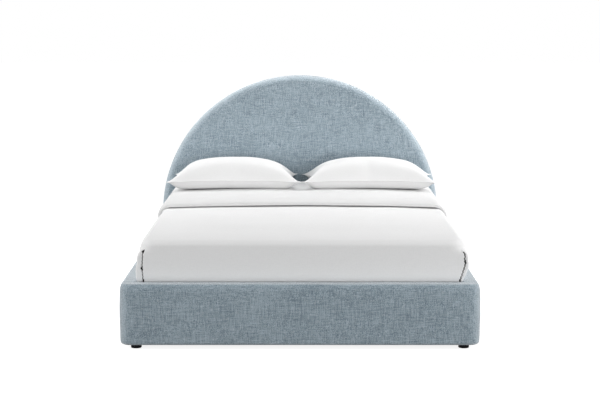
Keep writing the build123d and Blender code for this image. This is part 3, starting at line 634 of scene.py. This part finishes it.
def settle(points):
    """Lets the bedding fall away softly towards the foot end, and draws it in where it enters the box."""
    away = np.clip(points[:, 1] - foot_face, 0.030, droop_reach)
    fall = droop_depth * (1 - np.sqrt(1 - (1 - away / droop_reach) ** 2))
    points[:, 2] -= fall * smooth_step(points[:, 2], 0.44, 0.50)
    waist = np.clip((0.344 - points[:, 2]) / 0.042, 0, 1) ** 2 * smooth_step(points[:, 2], 0.235, 0.275)
    points[:, 1] += waist_depth * waist * smooth_step(foot_face + 0.16 - points[:, 1], 0, 0.13)


# Mattress: rounded block with a bound edge, seen from below when it is lifted
low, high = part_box("mattress")
mattress_inset = 0.0012
mattress_radius = 0.078
mattress_bottom_radius = 0.028
mattress_top_radius = 0.042
mattress_top = high.z - 0.012
mattress_crown = 0.006
mattress_crown_half = 0.74
tuft_spacing = 0.17
tuft_depth = 0.0045
outline, normals = outline_of(
    low.x + mattress_inset, high.x - mattress_inset, low.y + mattress_inset, high.y - mattress_inset,
    (mattress_radius,) * 4, 0.03,
)
rows = shell_rows(low.z + mattress_inset, mattress_top - mattress_inset, mattress_bottom_radius,
                  mattress_top_radius, 0.02, 26, 26)
grid = shell_points(outline, normals, rows, ((-0.02, 0.02), (-0.25, 0.23)))
mattress, points, facing = grid_piece("mattress_pad", grid, ticking, "mattress_set",
                                      ("mattress",))
top_share = smooth_step(facing[:, 2], 0.9, 1) * smooth_step(mattress_crown_half - np.abs(points[:, 0]), 0, 0.1)
crown = mattress_crown * (1 - (points[:, 0] / mattress_crown_half) ** 2)
points[:, 2] += top_share * crown * smooth_step(points[:, 1] - low.y, 0.15, 0.45)
tufts = np.abs(np.sin(math.pi * (points[:, 0] + points[:, 1]) / tuft_spacing))
tufts *= np.abs(np.sin(math.pi * (points[:, 0] - points[:, 1]) / tuft_spacing))
points[:, 2] += tuft_depth * smooth_step(-facing[:, 2], 0.9, 1) * (1 - np.sqrt(tufts))
settle(points)
lean(points)
write_points(mattress, points)

# Bed cover: pulled tight over the mattress, tucked in under it, with a fold at each front corner
cover_half = 0.7663
cover_front = foot_face
cover_rear = 1.0103
cover_top = mattress_top + 0.0043
cover_bottom = 0.2253
cover_radius = 0.031
cover_tuck = 0.16
cover_thickness = 0.0030
cover_crown = 0.012
crown_half = 0.724
cover_step = 0.022
cover_row_step = 0.005
hem_radius = 0.020
corner_radius = 0.0075
round_corner = 0.062
fold_setback = 0.0245
fold_line = cover_half - fold_setback
fold_lip = 0.0043
# Across the fold: the distance from its line, and how far in the cloth goes there when the fold is open
fold_section = (
    (-0.013, 0), (-0.009, 0.0001), (-0.0060, 0.0004), (-0.0050, 0.0012), (-0.0043, 0.0050), (-0.0040, 0.0140),
    (-0.0038, 0.0260), (0, 0.0290), (0.0038, 0.0260), (0.0040, 0.0140), (0.0043, 0.0070), (0.0052, 0.0040),
    (0.0072, 0.0026), (0.0095, 0.0020), (0.0120, 0.0020),
)
# For the side of negative and of positive x: where the fold ends at the top, its wider places as (height, width),
# how much it is closed elsewhere, the heights and the sideways places of its line, and that line's waviness
corner_folds = {
    -1: (0.467, ((0.457, 0.0060), (0.372, 0.0034), (0.315, 0.0022)), 0.0014,
         (0.315, 0.345, 0.372, 0.405, 0.430, 0.450, 0.470),
         (-0.0045, -0.0073, -0.001, 0.0, 0.0007, 0.0036, 0.0090), 0.0012, 390),
    1: (0.459, ((0.450, 0.0014), (0.405, 0.0024), (0.315, 0.0014)), 0.0001,
        (0.312, 0.330, 0.362, 0.380, 0.400, 0.420, 0.430, 0.458),
        (0.0115, 0.0107, 0.0073, 0.0070, 0.0105, 0.0070, 0.0115, 0.0100), 0.0023, 430),
}


def half_outline():
    """Half of the cover's outline, on the side of positive x, from the middle of the foot end to that of the
    head end. Each row is a point, its normal, 1 if it is part of the fold, and how far in it goes there."""
    start, end = cover_front + corner_radius, cover_rear - cover_radius
    edge = fold_line + fold_section[0][0]
    count = math.ceil(edge / cover_step)
    marks = [(edge * number / count, cover_front, 0, -1, 0, 0) for number in range(count)]
    marks += [(fold_line + across, cover_front, 0, -1, 1, inward) for across, inward in fold_section]
    for x, y in quarter_turn(9, -math.pi / 2):
        marks.append((cover_half - corner_radius + corner_radius * x, start + corner_radius * y, x, y, 0, 0))
    marks += [(cover_half, start + place, 1, 0, 0, 0) for place in (0.004, 0.010, 0.018, 0.028, 0.040, 0.055)]
    start += 0.07
    count = math.ceil((end - start) / cover_step)
    marks += [(cover_half, start + (end - start) * number / count, 1, 0, 0, 0) for number in range(count + 1)]
    for x, y in quarter_turn(6)[1:]:
        marks.append((cover_half - cover_radius * (1 - x), end + cover_radius * y, x, y, 0, 0))
    reach = cover_half - cover_radius
    count = math.ceil(reach / cover_step)
    marks += [(reach * (1 - number / count), cover_rear, 0, 1, 0, 0) for number in range(1, count + 1)]
    return np.array(marks)


marks = half_outline()
marks = np.vstack([marks, (marks * (-1, 1, -1, 1, 1, 1))[-2:0:-1]])
outline, normals, in_fold, inward = marks[:, :2], marks[:, 2:4], marks[:, 4] > 0, marks[:, 5]
sides = np.sign(outline[:, 0])

wall_low = cover_bottom + hem_radius
wall_high = cover_top - cover_radius
caps = 34
rows = [(cover_radius, cover_top, (1 - number / caps) ** 1.5) for number in range(caps)]
rows += [(cover_radius * (1 - y), cover_top - cover_radius * (1 - x), 0) for x, y in quarter_turn(8)]
count = math.ceil((wall_high - wall_low) / cover_row_step)
rows += [(0, wall_high - (wall_high - wall_low) * number / count, 0) for number in range(1, count + 1)]
rows += [(hem_radius * (1 - x), wall_low - hem_radius * y, 0) for x, y in quarter_turn(5)[1:]]
rows += [(hem_radius + cover_tuck * share, cover_bottom, 0) for share in (0.2, 0.4, 0.6, 0.8, 1.0)]
insets, heights, shares = np.array(rows).T

# The front corners are sharp beside the fold and round above it
core = ((0, 0), (-0.28, 0.28))
pull = np.abs(outline) - (cover_half - round_corner, -cover_front - round_corner)
at_corner = ((pull > 0).all(axis=1) & (outline[:, 1] < 0))[:, None]
towards = pull / np.maximum(np.linalg.norm(pull, axis=1), 1e-9)[:, None] * [1, -1]
towards[:, 0] *= sides
centre = np.column_stack([sides * (cover_half - round_corner), np.full(len(outline), cover_front + round_corner)])
round_grid = shell_points(np.where(at_corner, centre + round_corner * towards, outline),
                          np.where(at_corner, towards, normals), rows, core)
grid = shell_points(outline, normals, rows, core)
grid += (round_grid - grid) * smooth_step(heights, 0.432, 0.486)[:, None, None]
for row in np.where(heights <= wall_low)[0]:
    grid[row, :, :2] = np.clip(grid[row, :, :2], (insets[row] - cover_half, cover_front + insets[row]),
                               (cover_half - insets[row], cover_rear - insets[row]))

# The sides stand out over the rails, most of all near the foot end
swell = np.interp(heights, (0.300, 0.318, 0.345, 0.375, 0.405, 0.440, 0.470, 0.495, 0.520),
                  (0.004, 0.008, 0.015, 0.021, 0.020, 0.016, 0.009, 0.002, -0.003)) * (shares == 0)
swell = swell[:, None] * smooth_step(np.abs(grid[..., 0]), 0.60, 0.765) * smooth_step(-0.05 - grid[..., 1], 0, 0.40)
grid[..., 0] += sides * swell

# Points deep inside each open fold, whose faces get the near-black painted shade
fold_points_for_painted_shade = []
for sign, (fold_top, wide_places, closing, line_heights, line_places, wave, waves) in corner_folds.items():
    near = np.where((sides == sign) & in_fold)[0]
    offsets = np.abs(outline[near, 0]) - fold_line
    spreading = np.sign(offsets) * np.clip(np.abs(offsets) / 0.0030, 0, 1)
    spreading *= np.clip(1 - (np.abs(offsets) - fold_lip) / 0.010, 0, 1)
    outer = np.clip(1 - (offsets - fold_lip) / (fold_setback - corner_radius - fold_lip), 0, 1)
    following = np.where(offsets > 0, outer, np.clip(1 - (-offsets - 0.004) / 0.016, 0, 1))
    deep = near[inward[near] >= 0.0050]
    for row, height in enumerate(heights):
        opening = float(smooth_step(fold_top - height, 0.0, 0.006) * smooth_step(height, 0.262, 0.285))
        gap = sum(width * math.exp(-((height - place) / 0.0080) ** 2) for place, width in wide_places) - closing
        wander = np.interp(height, line_heights, line_places) + wave * math.sin(height * waves)
        grid[row, near, 0] += sign * opening * (gap * spreading + wander * following)
        grid[row, near, 1] += opening * inward[near]
        if opening > 0.4:
            fold_points_for_painted_shade += list(grid[row, deep])

cover, points, facing = grid_piece("bed_cover_cloth", grid, white_bedding, "mattress_set",
                                   ("bed_cover",))
# The faces deep inside each corner fold are coloured near-black: painted shade in place of the shadow there
cover.data.materials.append(painted_fold_shade)
tree = KDTree(len(fold_points_for_painted_shade))
for index, point in enumerate(fold_points_for_painted_shade):
    tree.insert(point, index)
tree.balance()
painted_shade_vertices = {index for index, point in enumerate(points) if tree.find(point)[2] < 0.00002}
for face in cover.data.polygons:
    face.material_index = int(painted_shade_vertices.issuperset(face.vertices))
top_share = smooth_step(facing[:, 2], 0.5, 1)
from_foot = points[:, 1] - cover_front
crown = cover_crown * (1 - np.clip(np.abs(points[:, 0]) / crown_half, 0, 1) ** 2) * smooth_step(from_foot, 0.10, 0.45)
soft = 0.0022 * ripple(points, 0.42, 7) * smooth_step(from_foot, 0.02, 0.2)
points[:, 2] += top_share * (crown + soft)
drop = smooth_step(points[:, 2], 0.27, 0.34) * (1 - top_share)
at_side = smooth_step(np.abs(facing[:, 0]), 0.4, 0.9)
points += facing * (drop * at_side * 0.0035 * ripple(points, (0.9, 0.20, 0.6), 8))[:, None]
strip = smooth_step(np.abs(points[:, 0]), 0.768, 0.778) * smooth_step(-0.93 - points[:, 1], 0, 0.07)
points += facing * (drop * strip * 0.0030 * ripple(points, (0.03, 0.03, 0.026), 9))[:, None]
settle(points)
lean(points)
write_points(cover, points)
thicken(cover, cover_thickness, -1)

# Folded-back band of the cover in front of the pillows
band_low, band_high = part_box("cover_turndown")
band_front = band_low.y + 0.022
band_rear = band_high.y
band_hem = band_low.z
band_gap = 0.0008
band_thickness = 0.0255
inner_half = 0.7666
inner_top = cover_top + 0.0003
inner_radius = 0.0464
band_step = 0.016
nose_rise = 0.0065
nose_depth = 0.034
face_rise = 0.0145
face_lean = 0.003
roll_depth = 0.060


def band_course():
    """The band's way over the bed, from the hem on one side to the hem on the other. Each row is a point in x
    and z and the normal there."""
    wall_top = inner_top - inner_radius
    count = math.ceil((wall_top - band_hem) / band_step)
    course = [(inner_half, band_hem + (wall_top - band_hem) * number / count, 1, 0) for number in range(count)]
    for x, z in quarter_turn(10)[:-1]:
        course.append((inner_half - inner_radius * (1 - x), inner_top - inner_radius * (1 - z), x, z))
    reach = inner_half - inner_radius
    count = math.ceil(reach / band_step)
    for x in [reach * (1 - number / count) for number in range(count + 1)]:
        course.append((x, inner_top + cover_crown * (1 - (x / crown_half) ** 2), 0, 1))
    course = np.array(course)
    return np.vstack([course, (course * (-1, 1, -1, 1))[-2::-1]])


def band_section():
    """The band's section in (y, rise): up the nose and the face, over the roll, back, and forward below."""
    section = [(band_front + nose_depth * (1 - number / 6), nose_rise * number / 6) for number in range(7)]
    section.append((band_front + face_lean * 0.35, (nose_rise + face_rise) / 2))
    for x, y in quarter_turn(8):
        section.append((band_front + face_lean + (roll_depth - face_lean) * (1 - x),
                        face_rise + (band_thickness - face_rise) * y))
    length = band_rear - band_front - roll_depth
    section += [(band_front + roll_depth + length * share, band_thickness) for share in np.linspace(0.025, 1, 42)]
    section += [(band_rear, band_thickness * share) for share in (0.75, 0.25)]
    length = band_rear - band_front - nose_depth
    section += [(band_front + nose_depth + length * share, 0.0) for share in np.linspace(1, 0.01, 40)]
    return section


section = band_section()
grid = []
for x, z, normal_x, normal_z in band_course():
    ease = float(smooth_step(z - band_hem, -0.012, 0.02)) if abs(normal_x) > 0.5 else 1.0
    rises = [(y, band_gap + rise * ease) for y, rise in section]
    grid.append([(x + normal_x * rise, y, z + normal_z * rise) for y, rise in rises])
faces = grid_faces(len(grid), len(section))
faces += [tuple(range(len(section))), tuple((len(grid) - 1) * len(section) + index for index in range(len(section)))]
band = piece_of("folded_cover_band", np.reshape(grid, (-1, 3)), faces, band_cotton, "mattress_set",
                ("cover_turndown",))
points, facing = read_piece(band)
front_share = smooth_step(band_front + 0.20 - points[:, 1], 0, 0.2)
wave = 0.0035 * ripple(points * [1, 0, 0.7], (0.34, 1, 0.4), 10)
wave += 0.0012 * ripple(points * [1, 0, 1], (0.08, 1, 0.08), 11)
points[:, 1] += front_share * wave * 1.6
outer = (points[:, 2] > inner_top + 0.012) | (np.abs(points[:, 0]) > inner_half + 0.012)
puff = 0.0026 * ripple(points, (0.30, 0.16, 0.30), 12) + 0.0010 * ripple(points, (0.10, 0.05, 0.10), 13)
before_pillows = smooth_step(0.62 - points[:, 1], 0, 0.08)
points += facing * (puff * outer * before_pillows)[:, None]
lean(points)
write_points(band, points)


# Pillows
pillow_cloth = {
    "quality": 6, "mass": 0.25, "tension_stiffness": 14, "compression_stiffness": 12, "shear_stiffness": 5,
    "bending_stiffness": 0.15, "shrink_min": -0.03,
}
pillow_pressure = 5.0
pillow_frames = 26
pillow_cap = 0.045
pillow_evening = 14
pillow_corner_drop = 0.008
pillow_seam_share = 0.29
seam_flange = 0.008
seam_half_thickness = 0.0010
seam_width = 0.0016


def pillow_form(columns, row_count, width, depth, height):
    """Two layers of cloth that share their seam, lying round the origin: points, faces, seam loop.

    The seam loop comes in order, anticlockwise from the corner at the lowest x and y.
    """
    index_of, points = {}, []
    for row in range(row_count + 1):
        for column in range(columns + 1):
            u = 2 * column / columns - 1
            v = 2 * row / row_count - 1
            x = u * width / 2 * (1 - 0.085 * (1 - v * v))
            y = v * depth / 2 * (1 - 0.050 * (1 - u * u))
            rise = height / 2 * (1 - abs(u) ** 2.6) ** 1.1 * (1 - abs(v) ** 2.4) ** 0.9
            at_seam = row in (0, row_count) or column in (0, columns)
            for layer in ((0,) if at_seam else (1, -1)):
                index_of[row, column, layer] = len(points)
                points.append((x, y, rise * layer))
    faces = []
    for row in range(row_count):
        for column in range(columns):
            corners = [(row, column), (row, column + 1), (row + 1, column + 1), (row + 1, column)]
            for layer in (1, -1):
                face = [index_of.get((*corner, layer), index_of.get((*corner, 0))) for corner in corners]
                faces.append(tuple(face[::layer]))
    walk = [(0, column) for column in range(columns)] + [(row, columns) for row in range(row_count)]
    walk += [(row_count, column) for column in range(columns, 0, -1)] + [(row, 0) for row in range(row_count, 0, -1)]
    return np.array(points), faces, np.array([index_of[(*place, 0)] for place in walk])


def inflate(points, faces, pressure, frames, cap):
    """Lets cloth simulation blow a closed form up, moving no point further than cap."""
    mesh = bpy.data.meshes.new("inflating")
    mesh.from_pydata([tuple(point) for point in points], [], faces)
    form = bpy.data.objects.new("inflating", mesh)
    scene.collection.objects.link(form)
    cloth = form.modifiers.new("cloth", "CLOTH")
    for label, value in pillow_cloth.items():
        setattr(cloth.settings, label, value)
    cloth.settings.use_pressure = True
    cloth.settings.uniform_pressure_force = pressure
    cloth.settings.effector_weights.gravity = 0
    cloth.point_cache.frame_start = 1
    cloth.point_cache.frame_end = frames
    for number in range(1, frames + 1):
        scene.frame_set(number)
    evaluated = form.evaluated_get(bpy.context.evaluated_depsgraph_get())
    result = evaluated.to_mesh()
    moves = read_vectors(result.vertices, "co") - points
    evaluated.to_mesh_clear()
    bpy.data.objects.remove(form)
    bpy.data.meshes.remove(mesh)
    scene.frame_set(1)
    lengths = np.maximum(np.linalg.norm(moves, axis=1), 1e-9)
    return points + moves * (np.tanh(lengths / cap) * cap / lengths)[:, None]


def smoothed(points, faces, held, rounds):
    """Evens out the small puckers of a mesh, apart from the held points."""
    edges = np.array([(face[k - 1], face[k]) for face in faces for k in range(len(face))])
    counts = np.bincount(edges.ravel(), minlength=len(points))[:, None]
    free = np.ones(len(points))
    free[held] = 0
    points = points.copy()
    for _ in range(rounds):
        total = np.zeros_like(points)
        np.add.at(total, edges[:, 0], points[edges[:, 1]])
        np.add.at(total, edges[:, 1], points[edges[:, 0]])
        points += 0.6 * free[:, None] * (total / counts - points)
    return points


def with_flange(points, faces, loop):
    """Parts the two layers at the seam and adds a flat stitched edge round them."""
    ring = points[loop]
    along = np.roll(ring, -1, axis=0) - np.roll(ring, 1, axis=0)
    outward = np.column_stack([along[:, 1], -along[:, 0], np.zeros(len(ring))])
    outward /= np.linalg.norm(outward, axis=1)[:, None]
    lift = np.array([0, 0, seam_half_thickness])
    edge = ring + outward * seam_flange + lift * 1.2 * ripple(ring, 0.05, 21)[:, None]
    count, size = len(points), len(ring)
    near = ring + outward * seam_width
    added = np.vstack([ring - lift, near + lift, near - lift, edge])
    points = points.copy()
    points[loop] += lift
    low_of = {index: count + number for number, index in enumerate(loop)}
    joined = []
    for number, face in enumerate(faces):
        joined.append(tuple(low_of.get(index, index) for index in face) if number % 2 else face)
    for number in range(size):
        following = (number + 1) % size
        top = [loop[number], loop[following]]
        low, near_top, near_low, rim = (
            [count + block * size + number, count + block * size + following] for block in range(4)
        )
        for inner, outer in ((top, near_top), (near_top, rim)):
            joined.append((inner[0], outer[0], outer[1], inner[1]))
        for inner, outer in ((low, near_low), (near_low, rim)):
            joined.append((inner[0], inner[1], outer[1], outer[0]))
    return np.vstack([points, added]), joined


for side, sign in (("left", -1), ("right", 1)):
    body = "pillow_" + side
    low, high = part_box(body)
    size = high - low
    middle = (low + high) / 2
    points, faces, loop = pillow_form(72, 44, size.x * 1.03, size.y * 1.03, size.z * 0.8)
    uneven = 0.004 * sign * ripple(points, 0.3, 30 + sign)
    points[:, 2] += uneven * smooth_step(np.abs(points[:, 2]), 0, 0.03)
    points = inflate(points, faces, pillow_pressure, pillow_frames, pillow_cap)
    points = smoothed(points, faces, loop, pillow_evening)
    spans = points.max(axis=0) - points.min(axis=0)
    points -= (points.max(axis=0) + points.min(axis=0)) / 2
    room = np.array([size.x, size.y, size.z]) - 2 * seam_flange + [0.014, 0, 0]
    points[:, :2] *= room[:2] / spans[:2]
    seam_rise = size.z * pillow_seam_share
    upper = points[:, 2] > 0
    points[upper, 2] *= (size.z - seam_rise) / points[:, 2].max()
    under = np.clip(-points[:, 2] / -points[:, 2].min(), 0, 1)
    fullness = 3.4 + 4.2 * np.clip(1 - np.abs(2.1 * points[:, 0] / size.x) ** 4, 0, 1)
    points[~upper, 2] = -(seam_rise * (1 - (1 - under[~upper]) ** fullness[~upper]))
    from_middle = points[:, 0] / (size.x / 2)
    points[:, 2] += seam_rise - pillow_corner_drop * np.abs(from_middle) ** 3
    if side == "left":
        points[:, 0] *= 1 - 0.055 * smooth_step(points[:, 1], 0, size.y / 2) * from_middle ** 2
    points, faces = with_flange(points, faces, loop)
    points += np.array([middle.x, middle.y, low.z])
    pillow = piece_of(body + "_cushion", points, faces, pillow_cotton, body, (body,))
    divide = pillow.modifiers.new("subdivision", "SUBSURF")
    divide.levels = divide.render_levels = 1


# Studio
def area_light(name, location, target, size, power):
    light_data = bpy.data.lights.new(name, "AREA")
    light_data.shape = "RECTANGLE"
    light_data.size, light_data.size_y = size
    light_data.energy = power
    light = bpy.data.objects.new(name, light_data)
    light.location = location
    light.rotation_euler = (Vector(target) - Vector(location)).to_track_quat("-Z", "Y").to_euler()
    light.visible_camera = False
    scene.collection.objects.link(light)


area_light("front_low", (1.1, -6.5, 0.6), (0.0, 0.0, 0.6), (4.0, 0.8), 119)
area_light("left_side", (-3.2, -1.25, 1.1), (0.0, 0.5, 0.6), (1.6, 1.6), 38)
area_light("right_side", (3.2, -1.25, 1.1), (0.0, 0.5, 0.6), (1.6, 1.6), 43)
area_light("left_rim", (-2.4, 1.2, 1.3), (-0.6, 1.05, 0.9), (0.8, 1.2), 23)
area_light("right_rim", (2.4, 1.2, 1.3), (0.6, 1.05, 0.9), (0.8, 1.2), 34)
area_light("top_rim", (0.0, 1.35, 2.2), (0.0, 1.05, 1.1), (2.2, 0.5), 20)
area_light("overhead", (0.0, -0.6, 4.0), (0.0, -0.3, 0.3), (3.0, 3.0), 16.5)


def background_share(tree):
    """1 for what the camera sees straight, mirrored or through glass, and 0 for light on the object."""
    path = tree.nodes.new("ShaderNodeLightPath")
    share = path.outputs["Is Camera Ray"]
    for name in ("Is Glossy Ray", "Is Transmission Ray"):
        larger = tree.nodes.new("ShaderNodeMath")
        larger.operation = "MAXIMUM"
        tree.links.new(share, larger.inputs[0])
        tree.links.new(path.outputs[name], larger.inputs[1])
        share = larger.outputs[0]
    return share


def shading(tree, kind, grey, strength=None):
    """The output of a new shader node of one grey."""
    node = tree.nodes.new(kind)
    node.inputs["Color"].default_value = (grey, grey, grey, 1)
    if strength is not None:
        node.inputs["Strength"].default_value = strength
    return node.outputs[0]


def mix_by_ray(tree, for_light, for_camera, output):
    """Gives an output one shader for the light on the object and another for what the camera sees."""
    mixer = tree.nodes.new("ShaderNodeMixShader")
    for socket, source in zip(mixer.inputs, (background_share(tree), for_light, for_camera)):
        tree.links.new(source, socket)
    tree.links.new(mixer.outputs[0], tree.nodes[output].inputs["Surface"])


world = bpy.data.worlds.new("studio")
scene.world = world
world.use_nodes = True
tree = world.node_tree
tree.nodes.remove(tree.nodes["Background"])
mix_by_ray(tree, shading(tree, "ShaderNodeBackground", 1, 0.45), shading(tree, "ShaderNodeBackground", 1, 1.0),
           "World Output")

floor_material = bpy.data.materials.new("pale_floor")
floor_material.use_nodes = True
tree = floor_material.node_tree
tree.nodes.remove(tree.nodes["Principled BSDF"])
shadowed_glow = tree.nodes.new("ShaderNodeAddShader")
tree.links.new(shading(tree, "ShaderNodeBsdfDiffuse", 0.40), shadowed_glow.inputs[0])
tree.links.new(shading(tree, "ShaderNodeEmission", 1, 0.87), shadowed_glow.inputs[1])
mix_by_ray(tree, shading(tree, "ShaderNodeBsdfDiffuse", 0.12), shadowed_glow.outputs[0], "Material Output")

floor_half = 40
floor_mesh = bpy.data.meshes.new("floor")
floor_mesh.from_pydata(
    [(floor_half * x, floor_half * y, 0) for x, y in ((-1, -1), (1, -1), (1, 1), (-1, 1))], [], [(0, 1, 2, 3)]
)
floor_mesh.materials.append(floor_material)
floor = bpy.data.objects.new("floor", floor_mesh)
scene.collection.objects.link(floor)

scene.view_settings.view_transform = "Standard"
